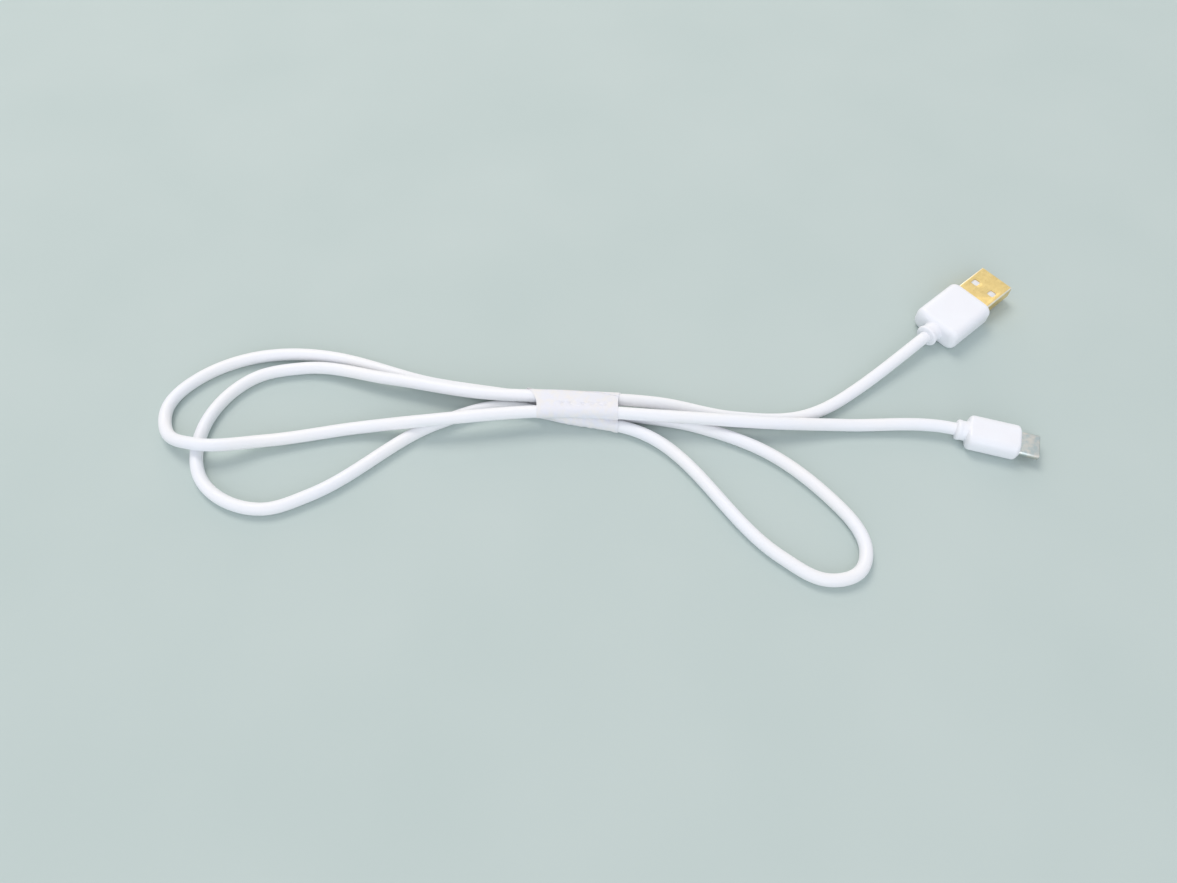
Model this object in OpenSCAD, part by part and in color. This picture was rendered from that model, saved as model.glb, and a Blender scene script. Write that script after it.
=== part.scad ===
// Charging cable: a limp cord folded into a figure of loops and bound with a film band,
// with a flat rectangular type A plug on one end and an oval reversible type C plug on the other.
// Millimetres. Z = 0 is the table. The origin is the middle of the type A grip's underside.

/* [Cord] */
// Diameter of the cord's jacket
cord_d = 3.8; // [3.4:0.1:4]
// Length of jacket held inside each grip
jacket_in = 4.2; // [3.4:0.1:4.4]
// Diameter of one insulated wire
wire_d = 0.84; // [0.6:0.02:0.9]
// Distance of each wire from the cord's middle where the jacket ends, across and up
wire_bundle = 0.62; // [0.5:0.02:0.7]
// Length of the crimped clamp on the jacket's end
clamp_l = 2.8; // [1.5:0.1:3]
// Wall of the clamp
clamp_wall = 0.3; // [0.2:0.05:0.5]

/* [Type A grip] */
// Width of the moulded grip
a_grip_w = 16; // [14.8:0.1:17]
// Length of the moulded grip
a_grip_l = 19.2; // [17.4:0.1:22]
// Thickness of the moulded grip
a_grip_t = 7.9; // [7.4:0.1:9]
// Radius of the grip's long edges
a_grip_r = 2.6; // [1:0.1:3.2]
// Radius of the grip's corners seen from above
a_plan_r = 2; // [1:0.1:3]
// Radius of the grip's corners seen from the side
a_side_r = 2; // [0.5:0.1:2.6]
// Diameter of the collar round the cord
a_collar_d = 6.2; // [5.4:0.1:7]
// Length of the collar
a_collar_l = 3.8; // [3:0.1:7]
// Diameter of the bead at the collar's mouth
a_bead_d = 7; // [6.4:0.1:7.3]
// Length of that bead
a_bead_l = 1.4; // [0.8:0.1:2]
// Angle of the plug on the table
a_angle = 40; // [35:1:45]
// How far the grip's middle lies behind the origin
a_back = 0.45; // [0:0.05:0.8]

/* [Type A shell] */
// Width of the metal shell
a_shell_w = 12; // [11.8:0.1:12.4]
// Thickness of the metal shell
a_shell_t = 4.5; // [4.4:0.1:4.8]
// Length of the whole shell
a_shell_l = 18.8; // [17:0.1:20]
// Length of shell in front of the grip
a_shell_out = 12.9; // [11.8:0.1:13.2]
// Thickness of the shell's sheet
a_sheet = 0.3; // [0.25:0.05:0.35]
// Radius of the shell's long edges
a_shell_r = 0.6; // [0.5:0.05:0.9]
// Bevel round the shell's mouth
a_lead = 0.2; // [0.1:0.05:0.25]
// Side of each latch window
a_window = 2.4; // [1.8:0.1:2.6]
// Distance between the windows' middles
a_window_pitch = 6.4; // [5.6:0.1:7]
// Distance from the windows' middles to the shell's mouth
a_window_back = 7.2; // [5.5:0.1:8]
// Width of the seam under the shell
a_seam = 0.15; // [0.1:0.05:0.3]
// Width of the seam's dovetail lock
a_dovetail_w = 2.4; // [1.6:0.1:3]

/* [Type A insides] */
// Depth of the free mouth above the tongue
a_mouth_depth = 9; // [8.6:0.1:10]
// Thickness of the tongue
a_tongue_t = 1.9; // [1.7:0.1:2.1]
// Distance from the shell's mouth to the tongue's nose
a_tongue_back = 0.6; // [0.3:0.1:1.2]
// Width of a contact
a_contact_w = 1; // [0.8:0.1:1.2]
// Thickness of a contact
a_contact_t = 0.3; // [0.2:0.05:0.4]
// Distance between the two middle contacts
a_inner_pitch = 2; // [1.8:0.1:2.2]
// Distance between the two outer contacts
a_outer_pitch = 7; // [6.6:0.1:7.4]
// Distance from the tongue's nose to the outer contacts
a_outer_back = 1; // [0.6:0.1:1.6]
// Distance from the tongue's nose to the middle contacts
a_inner_back = 2; // [1.8:0.1:3]
// Length of the contacts' tails behind the insulator
a_tail = 1.8; // [1:0.1:2.2]
// Width of the tails
a_tail_w = 1.2; // [0.8:0.1:1.4]
// Width of the inner core
a_core_w = 12.4; // [12.1:0.1:13]
// Thickness of the inner core
a_core_t = 5.2; // [4.9:0.1:5.8]
// Length of the core behind the shell
a_core_l = 10.8; // [9.4:0.1:11]

/* [Type C grip] */
// Width of the moulded grip
c_grip_w = 10.7; // [10:0.1:12]
// Length of the moulded grip
c_grip_l = 15.3; // [14.4:0.1:18]
// Thickness of the moulded grip
c_grip_t = 6.5; // [6:0.1:7.4]
// Radius of the grip's long edges
c_grip_r = 2.6; // [1:0.1:2.8]
// Radius of the grip's corners seen from above
c_plan_r = 1.6; // [0.8:0.1:2.4]
// Radius of the grip's corners seen from the side
c_side_r = 1; // [0.5:0.1:1.4]
// Diameter of the collar round the cord
c_collar_d = 5.7; // [4.8:0.1:5.9]
// Length of the collar
c_collar_l = 3.2; // [2.5:0.1:6]
// Diameter of the bead at the collar's mouth
c_bead_d = 6.2; // [5.9:0.1:6.4]
// Length of that bead
c_bead_l = 1.2; // [0.6:0.1:1.8]
// Angle of the plug on the table
c_angle = -16; // [-20:1:-12]
// Place of the grip's middle along X
c_x = 2.5; // [0:0.1:4]
// Place of the grip's middle along Y
c_y = -46.5; // [-48:0.1:-44]

/* [Type C shell] */
// Width of the oval shell
c_shell_w = 8.25; // [8.2:0.05:8.4]
// Thickness of the oval shell
c_shell_t = 2.4; // [2.35:0.05:2.5]
// Length of the whole shell
c_shell_l = 9.4; // [8.6:0.1:10]
// Length of shell in front of the grip
c_shell_out = 5.7; // [5.4:0.1:6.7]
// Thickness of the shell's wall
c_sheet = 0.22; // [0.15:0.01:0.24]
// Bevel round the shell's mouth
c_lead = 0.2; // [0.1:0.05:0.2]

/* [Type C insides] */
// Distance from the shell's side to the mouth
c_mouth_side = 0.675; // [0.65:0.025:0.75]
// Height of the mouth, which is also the board's thickness
c_mouth_h = 0.8; // [0.75:0.05:0.9]
// Depth of the mouth
c_mouth_depth = 5.4; // [5:0.1:5.8]
// Distance from the shell's mouth to the insulator's nose
c_nose_back = 0.25; // [0.1:0.05:0.4]
// Distance between neighbouring contacts
c_pitch = 0.5; // [0.46:0.01:0.52]
// Width of a contact
c_contact_w = 0.26; // [0.2:0.01:0.32]
// Thickness of a contact
c_contact_t = 0.15; // [0.1:0.01:0.2]
// Distance from the insulator's nose to the contacts
c_contact_back = 1.9; // [1.7:0.1:2.6]
// Length of the contacts' tails on the board
c_tail = 1.5; // [1:0.1:2]
// Thickness of the latch plate
c_latch_t = 0.2; // [0.15:0.01:0.25]
// Width of each latch arm
c_arm_w = 0.28; // [0.2:0.01:0.3]
// Height of each latch arm
c_arm_h = 0.6; // [0.4:0.02:0.7]
// Distance that each latch hook stands into the mouth
c_hook = 0.2; // [0.1:0.02:0.3]
// Length of each latch hook
c_hook_l = 0.7; // [0.4:0.05:1]
// Distance from each end of the shell's flats to the ground springs
c_spring_side = 0.125; // [0.05:0.025:0.3]
// Length of each ground spring
c_spring_l = 1.3; // [1:0.1:1.4]
// Thickness of each ground spring
c_spring_t = 0.12; // [0.08:0.01:0.16]
// Number of fingers on each ground spring
c_fingers = 3; // [2:1:4]
// Width of the board
c_board_w = 6.6; // [6.2:0.1:7]
// Length of the board
c_board_l = 5.8; // [5:0.1:6.2]
// Length of the resistor on the board
c_resistor_l = 1; // [0.6:0.1:1.6]
// Width of the resistor on the board
c_resistor_w = 0.5; // [0.3:0.1:0.8]
// Height of the resistor on the board
c_resistor_t = 0.35; // [0.2:0.05:0.5]
// Distance between neighbouring wires at the board
c_wire_pitch = 1.5; // [1.2:0.05:1.7]
// Width of the inner core
c_core_w = 8.5; // [8.3:0.1:8.8]
// Thickness of the inner core
c_core_t = 4.6; // [4.2:0.1:4.8]
// Length of the core behind the shell
c_core_l = 9; // [8.4:0.1:9.6]

/* [Tie band] */
// Thickness of the band's film
film = 0.15; // [0.1:0.01:0.2]
// Room between the strands and the film
band_room = 0.06; // [0:0.01:0.1]
// Right edge of the band
band_right = -108.5; // [-110:0.5:-106]
// Length of the band along the strands
band_l = 28; // [24:0.5:30]
// How far the band's near side is shifted to the left
band_slant = 1; // [0:0.5:2]

/* [Hidden] */
$fn = 48;

// Overrun of a cutting shape past the face that it cuts.
over = 1;
// Play round the cord in a bore, and round sheet metal parts that slide into a slot.
play = 0.02;

// Places along the type A plug's own X axis, measured from the middle of its grip.
a_front = a_grip_l / 2 - a_back;
a_rear = -a_grip_l / 2 - a_back;
a_tip = a_front + a_shell_out;
a_shell_rear = a_tip - a_shell_l;
a_base_front = a_tip - a_mouth_depth;
a_nose = a_tip - a_tongue_back;
a_in_w = a_shell_w - 2 * a_sheet;
a_in_t = a_shell_t - 2 * a_sheet;
a_in_r = a_shell_r - a_sheet;
// Underside of the tongue, where the contacts lie flush.
a_tongue_z = a_in_t / 2 - a_tongue_t;
a_jacket_end = a_rear + jacket_in;
a_tail_end = a_shell_rear - a_tail;
a_core_rear = a_shell_rear - a_core_l;
a_power_y = -a_outer_pitch / 2;
a_minus_y = -a_inner_pitch / 2;
a_plus_y = a_inner_pitch / 2;
a_ground_y = a_outer_pitch / 2;

// Places along the type C plug's own X axis, measured from the middle of its grip.
c_front = c_grip_l / 2;
c_rear = -c_grip_l / 2;
c_tip = c_front + c_shell_out;
c_shell_rear = c_tip - c_shell_l;
c_nose = c_tip - c_nose_back;
c_mouth_end = c_nose - c_mouth_depth;
c_in_w = c_shell_w - 2 * c_sheet;
c_in_t = c_shell_t - 2 * c_sheet;
c_mouth_w = c_shell_w - 2 * c_mouth_side;
c_spring_w = c_in_w - c_in_t - 2 * c_spring_side;
c_jacket_end = c_rear + jacket_in;
c_board_front = c_shell_rear;
c_board_rear = c_board_front - c_board_l;
c_core_rear = c_shell_rear - c_core_l;
c_positions = 12;
c_upper_pins = [1, 4, 5, 6, 7, 9, 12];
c_lower_pins = [1, 4, 9, 12];

// Sides of the cord's tube, and stretches that each part of the route is swept in.
cord_sides = 12;
rings_per_stretch = 3;

// Height of the cord's middle on the table, on the band's film, and on another strand in the band.
lies = 1.9;
held = 2.1;
high = 5.9;
// The route of the cord's middle between the two collars.
route = [
    [-34, -27.5, 2.2], [-53.5, -38.3, lies], [-74, -38.5, 1.95], [-96, -33.8, 2.6],
    [-122, -33.8, 5.8], [-152, -31.6, 5.3], [-180, -25.6, 4.2], [-208, -20, 2], [-222, -23.5, lies],
    [-234.5, -42.5, lies], [-231.5, -60, lies], [-211.5, -70, lies], [-199, -65.5, lies],
    [-163.5, -40.5, 1.95], [-146, -34.6, held], [-126, -38.2, held], [-104, -43.4, held],
    [-64, -85.5, lies], [-53, -91.9, lies], [-43.2, -89.4, lies], [-40.6, -83, lies],
    [-48, -67, lies], [-63.5, -52, lies], [-85, -42, lies], [-112, -37, held], [-140, -30.8, held],
    [-168, -25.4, lies], [-195.5, -16.5, lies], [-224.5, -16, lies], [-241, -25, lies],
    [-247, -35, 2], [-245, -44, 2.5], [-234, -50.5, 6], [-214.5, -47.5, 3], [-188, -42.6, 2.4],
    [-166, -42.2, 6], [-128, -38.8, high], [-90, -41, 5.8], [-62, -42.5, 4.8], [-40.5, -41.6, 2.4]];
// First of the two stretches in which each of the four strands runs through the band.
band_stretches = [4, 15, 24, 36];
// Lengths that the band is shaped in, and distance between the farthest and nearest strands.
band_steps = 5;
band_depth = 8;

// A point given in a plug's own axes, in the shared frame.
function a_place(x) = [x * cos(a_angle), x * sin(a_angle), a_grip_t / 2];
function c_place(x) = [c_x + x * cos(c_angle), c_y + x * sin(c_angle), c_grip_t / 2];
function unit(v) = v / norm(v);

knots = concat([a_place(a_rear - a_collar_l)], route, [c_place(c_rear - c_collar_l)]);
last = len(knots) - 1;
// Direction of the cord at each knot, weighted towards the shorter stretch beside it.
function knot_direction(i) =
    i == 0 ? [-cos(a_angle), -sin(a_angle), 0] :
    i == last ? [cos(c_angle), sin(c_angle), 0] :
    let (before = knots[i] - knots[i - 1], after = knots[i + 1] - knots[i])
    unit(unit(before) * norm(after) + unit(after) * norm(before));
directions = [for (i = [0 : last]) knot_direction(i)];
// A point on stretch i, with t from 0 to 1 along it: a cubic through both knots.
function on_route(i, t) =
    let (reach = norm(knots[i + 1] - knots[i]))
    (2 * t * t * t - 3 * t * t + 1) * knots[i] + (t * t * t - 2 * t * t + t) * reach * directions[i]
    + (3 * t * t - 2 * t * t * t) * knots[i + 1] + (t * t * t - t * t) * reach * directions[i + 1];

centres = concat([a_place(a_jacket_end)],
    [for (i = [0 : last - 1]) for (k = [0 : rings_per_stretch - 1]) on_route(i, k / rings_per_stretch)],
    [knots[last], c_place(c_jacket_end)]);
rings = len(centres);

// One ring of the tube: its sides stand flat at the top and bottom.
function ring(i) =
    let (ahead = unit(centres[min(i + 1, rings - 1)] - centres[max(i - 1, 0)]),
        across = unit(cross([0, 0, 1], ahead)),
        up = cross(ahead, across))
    [for (k = [0 : cord_sides - 1]) let (turn = 360 * (k + 0.5) / cord_sides)
        centres[i] + cord_d / 2 * (cos(turn) * across + sin(turn) * up)];
function ring_corner(i, k) = i * cord_sides + k % cord_sides;

// Middle of one strand in the band at a given X, read off the tube's rings.
function strand_at(first, x) =
    let (from = 1 + first * rings_per_stretch,
        seen = [for (i = [from : from + 2 * rings_per_stretch]) centres[i]])
    [x, lookup(x, [for (p = seen) [p[0], p[1]]]), lookup(x, [for (p = seen) [p[0], p[2]]])];

module at_a() translate(a_place(0)) rotate([0, 0, a_angle]) children();
module at_c() translate(c_place(0)) rotate([0, 0, c_angle]) children();

// Rectangle with round corners, centred.
module rounded(x, y, r) {
    square([x - 2 * r, y], center = true);
    square([x, y - 2 * r], center = true);
    for (sx = [-1, 1], sy = [-1, 1]) translate([sx * (x / 2 - r), sy * (y / 2 - r)]) circle(r);
}
// Oval with straight flats and half-round ends, centred.
module oval(x, y) {
    square([x - y, y], center = true);
    for (s = [-1, 1]) translate([s * (x - y) / 2, 0]) circle(y / 2);
}
// A section drawn across a plug, carried along the plug from one X to another.
module along(from, to) translate([from, 0, 0]) rotate([90, 0, 90]) linear_extrude(to - from) children();
// A box given by its ends along the plug and its middle and size across it.
module bar(from, to, y, z, w, t) translate([from, y - w / 2, z - t / 2]) cube([to - from, w, t]);
module rod(from, to, d) translate([from, 0, 0]) rotate([0, 90, 0]) cylinder(d = d, h = to - from);

// Moulded block whose corners are round in all three views.
module soft_block(l, w, t, section_r, plan_r, side_r) intersection() {
    along(-l / 2, l / 2) rounded(w, t, section_r);
    translate([0, 0, -t / 2]) linear_extrude(t) rounded(l, w, plan_r);
    translate([0, w / 2, 0]) rotate([90, 0, 0]) linear_extrude(w) rounded(l, t, side_r);
}
// Collar behind a grip, with a bead at its mouth, turned about the plug's axis.
module collar(rear, d, l, bead_d, bead_l) rotate([0, -90, 0]) rotate_extrude() {
    translate([0, -rear - over]) square([d / 2, l + over]);
    translate([0, -rear + l - bead_l]) square([bead_d / 2 - bead_l / 4, bead_l]);
    translate([0, -rear + l - bead_l * 3 / 4]) square([bead_d / 2, bead_l / 2]);
    for (s = [1, 3]) translate([bead_d / 2 - bead_l / 4, -rear + l - bead_l * s / 4]) circle(bead_l / 4);
}
// Lead-in bevel round the mouth of a shell, as the shape that is kept.
module bevelled(w, t, from, to, bevel) intersection() {
    translate([0, 0, -t]) linear_extrude(2 * t)
        polygon([[from, -w / 2], [to - bevel, -w / 2], [to, -w / 2 + bevel], [to, w / 2 - bevel],
            [to - bevel, w / 2], [from, w / 2]]);
    translate([0, w, 0]) rotate([90, 0, 0]) linear_extrude(2 * w)
        polygon([[from, -t / 2], [to - bevel, -t / 2], [to, -t / 2 + bevel], [to, t / 2 - bevel],
            [to - bevel, t / 2], [from, t / 2]]);
}
// Straight wire between two planes across a plug: (y, z) at the first and at the second.
module wire(from, to, start, end) {
    run = [to - from, end[0] - start[0], end[1] - start[1]];
    reach = norm(run);
    lean = acos(run[2] / reach);
    swing = atan2(run[1], run[0]);
    intersection() {
        translate([from, start[0], start[1]]) rotate([0, lean, swing])
            translate([0, 0, -over]) cylinder(d = wire_d, h = reach + 2 * over);
        bar(from, to, 0, 0, 2 * (abs(start[0]) + abs(end[0])) + 4 * wire_d,
            2 * (abs(start[1]) + abs(end[1])) + 4 * wire_d);
    }
}
module clamp(jacket_end) difference() {
    rod(jacket_end - clamp_l, jacket_end, cord_d + 2 * clamp_wall);
    rod(jacket_end - clamp_l - over, jacket_end + over, cord_d + 2 * play);
}

// --- Type A plug, drawn about its own axis ---
module a_tube_section(x) along(a_shell_rear, x) rounded(a_shell_w, a_shell_t, a_shell_r);
module a_wire_at(y) {
    side = sign(y) * wire_bundle;
    rise = abs(y) > a_inner_pitch ? wire_bundle : -wire_bundle;
    wire(a_jacket_end, a_tail_end, [side, rise], [y, a_tongue_z + a_contact_t / 2]);
}
module a_contact_at(y, back) {
    z = a_tongue_z + a_contact_t / 2;
    bar(a_shell_rear, a_nose - back, y, z, a_contact_w, a_contact_t);
    bar(a_tail_end, a_shell_rear, y, z, a_tail_w, a_contact_t);
}
module a_contacts() {
    for (y = [a_power_y, a_ground_y]) a_contact_at(y, a_outer_back);
    for (y = [a_minus_y, a_plus_y]) a_contact_at(y, a_inner_back);
}
module a_wires() for (y = [a_power_y, a_minus_y, a_plus_y, a_ground_y]) a_wire_at(y);
module a_core_block() along(a_core_rear, a_shell_rear) rounded(a_core_w, a_core_t, a_shell_r);
// Slit under the shell where its folded sheet meets, with one dovetail that locks the two edges.
module a_seam_line() translate([0, 0, -a_shell_t]) linear_extrude(a_shell_t) {
    lock = (a_shell_rear + a_tip) / 2;
    half = a_dovetail_w / 2;
    step = a_dovetail_w / 3;
    for (ends = [[a_shell_rear - over, lock - half + a_seam], [lock + half - a_seam, a_tip + over]])
        translate([ends[0], -a_seam / 2]) square([ends[1] - ends[0], a_seam]);
    difference() {
        polygon([[lock - half, -a_seam / 2], [lock - half - step / 2, step], [lock + half + step / 2, step],
            [lock + half, -a_seam / 2]]);
        polygon([[lock - half + a_seam, -a_seam], [lock - half - step / 2 + a_seam, step - a_seam],
            [lock + half + step / 2 - a_seam, step - a_seam], [lock + half - a_seam, -a_seam]]);
    }
}

module type_a_grip() color("white") at_a() difference() {
    union() {
        translate([-a_back, 0, 0]) soft_block(a_grip_l, a_grip_w, a_grip_t, a_grip_r, a_plan_r, a_side_r);
        collar(a_rear, a_collar_d, a_collar_l, a_bead_d, a_bead_l);
    }
    a_tube_section(a_front + over);
    a_core_block();
    rod(a_rear - a_collar_l - over, a_core_rear + over, cord_d + 2 * play);
    clamp_hole(a_jacket_end, a_core_rear);
}
// Room in a grip for the part of the clamp that stands behind the core.
module clamp_hole(jacket_end, core_rear) if (jacket_end - clamp_l < core_rear)
    rod(jacket_end - clamp_l, core_rear + over, cord_d + 2 * clamp_wall);
module type_a_core() color("ivory") at_a() difference() {
    a_core_block();
    a_contacts();
    a_wires();
    rod(a_core_rear - over, a_jacket_end, cord_d + 2 * play);
    rod(a_jacket_end - clamp_l, a_jacket_end, cord_d + 2 * clamp_wall);
}
module type_a_shell() color("gold") at_a() difference() {
    intersection() {
        a_tube_section(a_tip);
        bevelled(a_shell_w, a_shell_t, a_shell_rear, a_tip, a_lead);
    }
    along(a_shell_rear - over, a_tip + over) rounded(a_in_w, a_in_t, a_in_r);
    translate([a_tip - a_window_back, 0, -a_shell_t]) linear_extrude(2 * a_shell_t)
        for (s = [-1, 1]) translate([0, s * a_window_pitch / 2]) rounded(a_window, a_window, a_window / 4);
    a_seam_line();
}
module type_a_insulator() color("whitesmoke") at_a() difference() {
    intersection() {
        along(a_shell_rear, a_nose) rounded(a_in_w, a_in_t, a_in_r);
        // Base and tongue seen from the side, with a sloping nose.
        translate([0, a_in_w / 2, 0]) rotate([90, 0, 0]) linear_extrude(a_in_w)
            polygon([[a_shell_rear, -a_in_t / 2], [a_base_front, -a_in_t / 2],
                [a_base_front, a_tongue_z], [a_nose - a_tongue_t / 4, a_tongue_z],
                [a_nose, a_tongue_z + a_tongue_t / 3], [a_nose, a_in_t / 2], [a_shell_rear, a_in_t / 2]]);
    }
    a_contacts();
}
module type_a_power_contact() color("gold") at_a() a_contact_at(a_power_y, a_outer_back);
module type_a_data_minus_contact() color("gold") at_a() a_contact_at(a_minus_y, a_inner_back);
module type_a_data_plus_contact() color("gold") at_a() a_contact_at(a_plus_y, a_inner_back);
module type_a_ground_contact() color("gold") at_a() a_contact_at(a_ground_y, a_outer_back);
module type_a_power_wire() color("red") at_a() a_wire_at(a_power_y);
module type_a_data_minus_wire() color("white") at_a() a_wire_at(a_minus_y);
module type_a_data_plus_wire() color("green") at_a() a_wire_at(a_plus_y);
module type_a_ground_wire() color("black") at_a() a_wire_at(a_ground_y);
module type_a_clamp() color("silver") at_a() clamp(a_jacket_end);

// --- Type C plug, drawn about its own axis ---
function c_wire_y(k) = (k - 1.5) * c_wire_pitch;
module c_wire_at(k) {
    y = c_wire_y(k);
    side = sign(y) * wire_bundle;
    rise = abs(y) > c_wire_pitch ? wire_bundle : -wire_bundle;
    wire(c_jacket_end, c_board_rear, [side, rise], [y, 0]);
}
// One row of contacts: up is 1 for the upper row and -1 for the lower, which is numbered the other way.
module c_row(pins, up) for (pin = pins)
    bar(c_shell_rear - c_tail, c_nose - c_contact_back, up * (pin - (c_positions + 1) / 2) * c_pitch,
        up * (c_mouth_h + c_contact_t) / 2, c_contact_w, c_contact_t);
module c_core_block() along(c_core_rear, c_shell_rear) rounded(c_core_w, c_core_t, c_core_t / 4);
// Middle plate with an arm and a hook on each side of the mouth.
module c_latch_shape(room) {
    arm_front = c_nose - c_contact_back;
    half = c_mouth_w / 2;
    bar(c_shell_rear, c_mouth_end, 0, 0, c_mouth_w, c_latch_t);
    for (s = [-1, 1]) {
        bar(c_shell_rear, arm_front + room, s * (half + c_arm_w / 2), 0, c_arm_w + room, c_arm_h + 2 * room);
        bar(arm_front - c_hook_l, arm_front + room, s * (half + (c_arm_w - c_hook) / 2), 0,
            c_arm_w + c_hook, c_arm_h + 2 * room);
    }
}
// Flat spring let into the insulator under the shell, cut into fingers at its front edge.
module c_spring(up) {
    front = c_nose - c_contact_back + c_contact_back / 4;
    gap = c_spring_w / (4 * c_fingers - 1);
    z = up * (c_in_t - c_spring_t) / 2;
    difference() {
        bar(front - c_spring_l, front, 0, z, c_spring_w, c_spring_t);
        for (k = [1 : c_fingers - 1])
            bar(front - c_spring_l / 2, front + over, (k / c_fingers - 0.5) * c_spring_w, z,
                gap, 2 * c_spring_t);
    }
}
module c_spring_seat(up) {
    front = c_nose - c_contact_back + c_contact_back / 4;
    bar(front - c_spring_l, front, 0, up * (c_in_t / 2 - c_spring_t / 2 + over / 2), c_spring_w,
        c_spring_t + over);
}
module c_resistor_shape() translate([c_board_rear + 1.2 * c_resistor_l, 0, (c_mouth_h + c_resistor_t) / 2])
    cube([c_resistor_l, c_resistor_w, c_resistor_t], center = true);
module c_board_shape() bar(c_board_rear, c_board_front, 0, 0, c_board_w, c_mouth_h);

module type_c_grip() color("white") at_c() difference() {
    union() {
        soft_block(c_grip_l, c_grip_w, c_grip_t, c_grip_r, c_plan_r, c_side_r);
        collar(c_rear, c_collar_d, c_collar_l, c_bead_d, c_bead_l);
    }
    along(c_shell_rear, c_front + over) oval(c_shell_w, c_shell_t);
    c_core_block();
    rod(c_rear - c_collar_l - over, c_core_rear + over, cord_d + 2 * play);
    clamp_hole(c_jacket_end, c_core_rear);
}
module type_c_core() color("ivory") at_c() difference() {
    c_core_block();
    c_board_shape();
    c_resistor_shape();
    c_row(c_upper_pins, 1);
    c_row(c_lower_pins, -1);
    for (k = [0 : 3]) c_wire_at(k);
    rod(c_core_rear - over, c_jacket_end, cord_d + 2 * play);
    rod(c_jacket_end - clamp_l, c_jacket_end, cord_d + 2 * clamp_wall);
}
module type_c_shell() color("lightgray") at_c() difference() {
    intersection() {
        along(c_shell_rear, c_tip) oval(c_shell_w, c_shell_t);
        bevelled(c_shell_w, c_shell_t, c_shell_rear, c_tip, c_lead);
    }
    along(c_shell_rear - over, c_tip + over) oval(c_in_w, c_in_t);
}
module type_c_insulator() color("dimgray") at_c() difference() {
    along(c_shell_rear, c_nose) oval(c_in_w, c_in_t);
    bar(c_mouth_end, c_nose + over, 0, 0, c_mouth_w, c_mouth_h);
    c_row(c_upper_pins, 1);
    c_row(c_lower_pins, -1);
    c_latch_shape(play);
    for (up = [1, -1]) c_spring_seat(up);
}
module type_c_upper_contacts() color("gold") at_c() c_row(c_upper_pins, 1);
module type_c_lower_contacts() color("gold") at_c() c_row(c_lower_pins, -1);
module type_c_latch() color("silver") at_c() c_latch_shape(0);
module type_c_upper_spring() color("silver") at_c() c_spring(1);
module type_c_lower_spring() color("silver") at_c() c_spring(-1);
module type_c_board() color("darkgreen") at_c() c_board_shape();
module type_c_resistor() color("black") at_c() c_resistor_shape();
module type_c_power_wire() color("red") at_c() c_wire_at(0);
module type_c_data_minus_wire() color("white") at_c() c_wire_at(1);
module type_c_data_plus_wire() color("green") at_c() c_wire_at(2);
module type_c_ground_wire() color("black") at_c() c_wire_at(3);
module type_c_clamp() color("silver") at_c() clamp(c_jacket_end);

// --- Cord and band ---
module cord_jacket() color("white") polyhedron(
    points = [for (i = [0 : rings - 1]) each ring(i)],
    faces = concat(
        [[for (k = [0 : cord_sides - 1]) ring_corner(0, k)]],
        [[for (k = [cord_sides - 1 : -1 : 0]) ring_corner(rings - 1, k)]],
        [for (i = [0 : rings - 2]) for (k = [0 : cord_sides - 1])
            [ring_corner(i, k), ring_corner(i + 1, k), ring_corner(i + 1, k + 1), ring_corner(i, k + 1)]]),
    convexity = 10);

// Skin drawn tight round all four strands between two places along them.
module bundle(from, to, r) hull() for (x = [from, to]) for (first = band_stretches)
    let (near = strand_at(band_stretches[0], x)[1] - strand_at(first, x)[1])
    translate(strand_at(first, x - band_slant * near / band_depth))
        rotate([0, 90, 0]) cylinder(r = r, h = play, $fn = 32);
module tie_band() color("snow") {
    left = band_right - band_l;
    step = band_l / band_steps;
    difference() {
        for (k = [0 : band_steps - 1])
            bundle(left + k * step, left + (k + 1) * step, cord_d / 2 + band_room + film);
        for (k = [0 : band_steps - 1])
            bundle(left + k * step - (k == 0 ? over : 0),
                left + (k + 1) * step + (k == band_steps - 1 ? over : 0), cord_d / 2 + band_room);
    }
}

cord_jacket();
tie_band();
type_a_grip();
type_a_core();
type_a_shell();
type_a_insulator();
type_a_power_contact();
type_a_data_minus_contact();
type_a_data_plus_contact();
type_a_ground_contact();
type_a_power_wire();
type_a_data_minus_wire();
type_a_data_plus_wire();
type_a_ground_wire();
type_a_clamp();
type_c_grip();
type_c_core();
type_c_shell();
type_c_insulator();
type_c_upper_contacts();
type_c_lower_contacts();
type_c_latch();
type_c_upper_spring();
type_c_lower_spring();
type_c_board();
type_c_resistor();
type_c_power_wire();
type_c_data_minus_wire();
type_c_data_plus_wire();
type_c_ground_wire();
type_c_clamp();
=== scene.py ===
# %% [markdown]
# # A charging cable, laid in loops and bound with film
#
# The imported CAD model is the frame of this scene. It says where every piece is, how thick the
# cord is and where its two plugs lie. This notebook dresses that frame: it draws the cord as one
# smooth curve, gives both plugs their moulded skins, winds the film round the strands, and gives
# every surface a procedural material.
#
# Lengths are written in millimetres and multiplied by `MM`, because Blender works in metres.

# %% Load the frame
from math import cos, hypot, pi, radians, sin

import bmesh
import bpy
import numpy as np
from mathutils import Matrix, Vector, noise


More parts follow.
